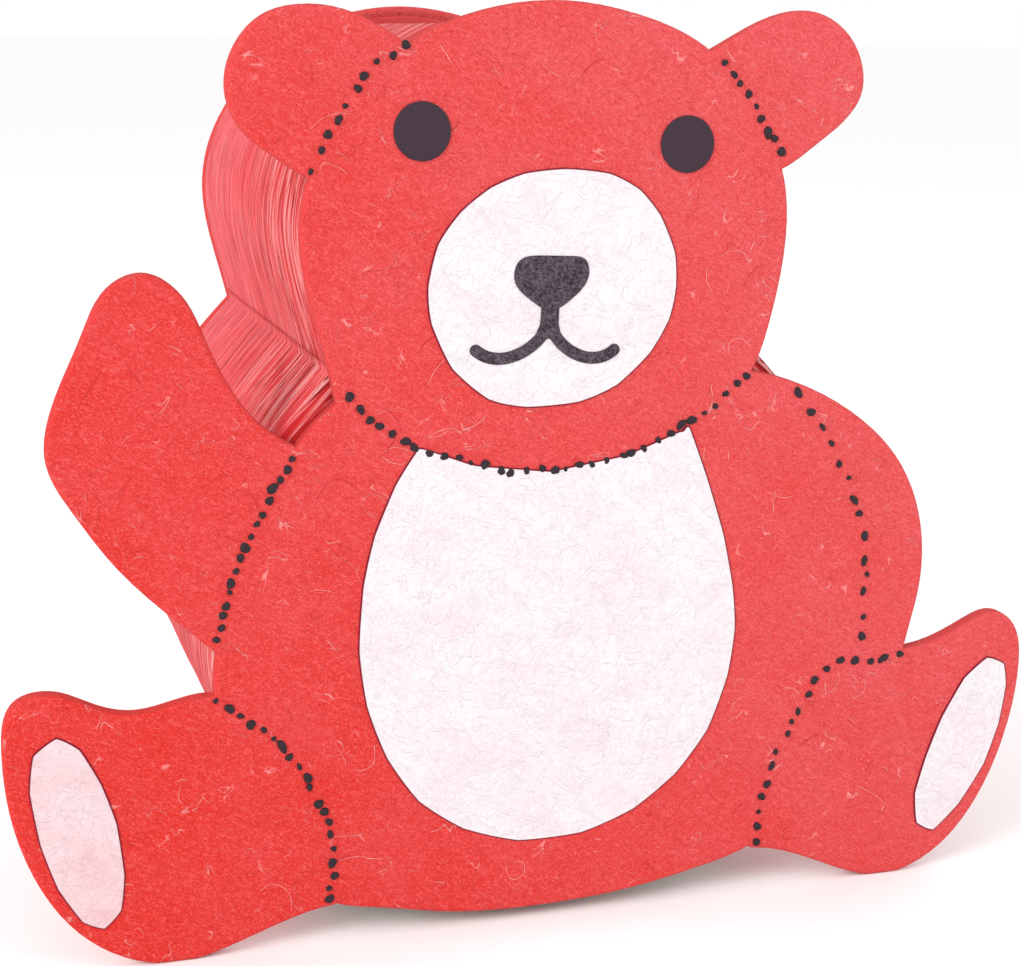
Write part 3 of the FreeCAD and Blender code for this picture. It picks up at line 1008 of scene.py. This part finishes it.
# %% Reading the beads of a row
def beads_of(node):
    """Centre and radius of each bead of a row, in the order of the row."""
    mesh = bmesh.new()
    mesh.from_mesh(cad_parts[node].data)
    bmesh.ops.remove_doubles(mesh, verts=mesh.verts, dist=2e-6)
    seen, found = set(), []
    for first in mesh.verts:
        if first in seen:
            continue
        seen.add(first)
        group, edge = [], [first]
        while edge:
            v = edge.pop()
            group.append(v)
            for other in [e.other_vert(v) for e in v.link_edges]:
                if other not in seen:
                    seen.add(other)
                    edge.append(other)
        xs, zs = [v.co.x for v in group], [v.co.z for v in group]
        centre = np.array([(min(xs) + max(xs)) / 2, (min(zs) + max(zs)) / 2])
        found.append((centre, (max(xs) - min(xs)) / 2))
    mesh.free()
    return found


def in_order(beads):
    """Beads sorted along the row, starting from the one furthest from all others."""
    spots = [b[0] for b in beads]
    start = max(range(len(beads)), key=lambda i: sum(np.linalg.norm(spots[i] - s) for s in spots))
    order, left = [start], set(range(len(beads))) - {start}
    while left:
        near = min(left, key=lambda i: np.linalg.norm(spots[i] - spots[order[-1]]))
        order.append(near)
        left.discard(near)
    return [beads[i] for i in order]


print("beads round the neck", len(in_order(beads_of("stitches_neck"))))

# %% [markdown]
# One bead is a low dome of five rings and a top point. Three waves round its outline
# keep it from being round, and it sinks a little into the paper so no gap shows.

# %% One bead
DOME = [(1.0, -0.12), (1.0, 0.22), (0.93, 0.52), (0.74, 0.80), (0.42, 0.96)]
ROUND_A_BEAD = 18


def bead(centre, radius, long, heading, height, chance):
    """One bead: rings of a low dome whose outline wobbles."""
    wobble = [chance.uniform(0, 6.28) for _ in range(4)]
    corners, around = [], ROUND_A_BEAD
    for reach, up in DOME:
        for k in range(around):
            a = 2 * math.pi * k / around
            waves = 1 + 0.10 * math.sin(2 * a + wobble[0]) + 0.07 * math.sin(3 * a + wobble[1])
            r = radius * reach * (waves + 0.05 * math.sin(5 * a + wobble[2]))
            p, q = r * long * math.cos(a), r * math.sin(a) / math.sqrt(long)
            x = centre[0] + p * math.cos(heading) - q * math.sin(heading)
            z = centre[1] + p * math.sin(heading) + q * math.cos(heading)
            corners.append((x, face_plane - up * height, z))
    corners.append((centre[0], face_plane - height, centre[1]))
    faces = ring_faces(len(DOME), around)
    top = (len(DOME) - 1) * around
    faces += [[top + k, top + (k + 1) % around, len(corners) - 1] for k in range(around)]
    faces.append(list(range(around))[::-1])
    return corners, faces


sample = bead(np.zeros(2), MM, 1.0, 0.0, MM, random.Random(1))
print("a bead has", len(sample[0]), "points and", len(sample[1]), "faces")

# %% [markdown]
# A row follows its measured beads. The hand drifts off the line, presses more or less
# paint out, and now and then drags a bead into a short dash. The arm that hangs down
# was stitched most loosely.

# %% The seven rows
def stitch_row(seam, loose, seed):
    """A whole row of beads; loose says how uneven the hand was."""
    chance = random.Random(seed)
    node = "stitches_" + seam
    row = in_order(beads_of(node))
    depth = face_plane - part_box(node)[0].y
    corners, faces = [], []
    for i, (centre, radius) in enumerate(row):
        ahead = row[min(i + 1, len(row) - 1)][0] - row[max(i - 1, 0)][0]
        heading = math.atan2(ahead[1], ahead[0])
        drift = np.array([chance.gauss(0, 0.30), chance.gauss(0, 0.22)]) * loose * MM
        turn_x, turn_z = math.cos(heading), math.sin(heading)
        shift = [drift[0] * turn_x - drift[1] * turn_z, drift[0] * turn_z + drift[1] * turn_x]
        spot = centre + np.array(shift)
        size = radius * chance.choice([0.52, 0.62, 0.70, 0.76, 0.80, 0.84, 0.90])
        long = 1.4 if chance.random() < 0.12 * loose else chance.uniform(0.95, 1.15)
        height = depth * chance.uniform(0.7, 0.98)
        new, joined = bead(spot, size, long, heading + chance.gauss(0, 0.3), height, chance)
        faces += [[k + len(corners) for k in f] for f in joined]
        corners += new
    made = mesh_object("stitch_row_" + seam, corners, faces, paint_black)
    print(made.name, len(row), "beads")
    finish_piece(made, "stitch_paint", node)


for number, (seam, loose) in enumerate([
    ("ear_left", 1.0), ("ear_right", 1.1), ("neck", 1.3), ("arm_raised", 0.9),
    ("arm_lowered", 1.6), ("leg_left", 1.2), ("leg_right", 1.3),
]):
    stitch_row(seam, loose, 40 + number)

# %% [markdown]
# ## Loose fibres
# Long bast fibres lie on the surface of the red sheets, some nearly white, some dark
# red. They are real threads about a tenth of a millimetre thick, curled and half
# sunk in the sheet. Each is a thin tube along a wandering line. A seeded chance
# scatters them inside the outline, first the long ones and then the short ones.

# %% One fibre
FIBRE_STEP = 0.6
ROUND_A_FIBRE = 5


def wandering(x, z, heading, length, curl, chance):
    """A curled line on the face, as evenly spaced points. Lengths are in mm."""
    points, turn = [], curl
    at, angle = np.array([x, z], float), math.radians(heading)
    for _ in range(max(4, int(length / FIBRE_STEP))):
        points.append(at.copy())
        turn = turn * 0.96 + chance.gauss(0, 0.05)
        angle += turn + chance.gauss(0, 0.10)
        at = at + FIBRE_STEP * np.array([math.cos(angle), math.sin(angle)])
    return np.array(points)


def thread(points, thick):
    """A five-sided tube, thin at both ends, along points in mm."""
    corners, around = [], ROUND_A_FIBRE
    along = np.gradient(points, axis=0)
    along /= np.linalg.norm(along, axis=1)[:, None]
    count = len(points)
    for i, (p, t) in enumerate(zip(points, along)):
        slim = thick * (0.35 + 0.65 * math.sin(math.pi * (i + 0.5) / count) ** 0.5)
        for k in range(around):
            a = 2 * math.pi * k / around
            side, out = slim * math.cos(a), slim * 0.7 * math.sin(a)
            x, z = p[0] - t[1] * side, p[1] + t[0] * side
            corners.append((x * MM, face_plane - out * MM, z * MM))
    faces = [[a, d, c, b] for a, b, c, d in ring_faces(count, around)]
    faces.append(list(range(around)))
    faces.append([(count - 1) * around + k for k in range(around)][::-1])
    return corners, faces


sample = wandering(0, 0, 0, 10.0, 0.05, random.Random(1))
print("a fibre of 10 mm has", len(sample), "steps and", len(thread(sample, 0.05)[1]), "faces")

# %% [markdown]
# The fibres are scattered over the box of the front board, and those that would reach
# past its edge are left out. Each colour is one piece, so that there are two pieces
# here and not a hundred.

# %% Scattering the fibres
def fibre_colour(name, dark, pale):
    hair = Finish(name)
    spot = hair.place()
    tone = hair.grain(spot, 1.6, 1.0, 0.0, 2.0)
    colour = hair.blend(tone.rise(0.3, 0.7), dark, pale)
    return hair.close(colour, tone, 0.02, Roughness=0.7, Specular_IOR_Level=0.3)


def lay_fibres(name, material, long_ones, short_ones, thick, seed):
    chance = random.Random(seed)
    runs = []
    low, high = bear_outline.min(0) / MM, bear_outline.max(0) / MM
    for n in range(long_ones + short_ones):
        x, z = chance.uniform(low[0], high[0]), chance.uniform(low[1], high[1])
        heading = chance.gauss(20, 60)
        length = chance.uniform(7.0, 13.0) if n < long_ones else chance.uniform(1.8, 8.0)
        runs.append(wandering(x, z, heading, length, chance.gauss(0, 0.08), chance))
    corners, faces = [], []
    for run in runs:
        near, inside = distance_to(run * MM, bear_outline)
        if not inside.all() or near.min() < 1.5 * MM:
            continue
        new, joined = thread(run, thick * chance.uniform(0.7, 1.2))
        faces += [[k + len(corners) for k in f] for f in joined]
        corners += new
    made = mesh_object(name, corners, faces, material)
    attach(made, "root")
    print(name, len(corners), "points")


pale_hair = fibre_colour("pale_bast_fibre", (0.74, 0.22, 0.21, 1), (0.84, 0.56, 0.54, 1))
dark_hair = fibre_colour("dark_bast_fibre", (0.44, 0.014, 0.015, 1), (0.56, 0.028, 0.028, 1))
lay_fibres("loose_fibres_pale", pale_hair, 26, 80, 0.045, 71)
lay_fibres("loose_fibres_dark", dark_hair, 18, 60, 0.055, 72)

# %% [markdown]
# ## Last checks
# The box of the finished pieces is printed against the measured one, so that a piece
# that has grown can be seen at once. Then the frame is checked and closed.

# %% Sizes
new_low, new_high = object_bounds()
old_and_new = zip((*cad_low, *cad_high), (*new_low, *new_high))
print("grown by mm", [round((b - a) / MM, 3) for a, b in old_and_new])
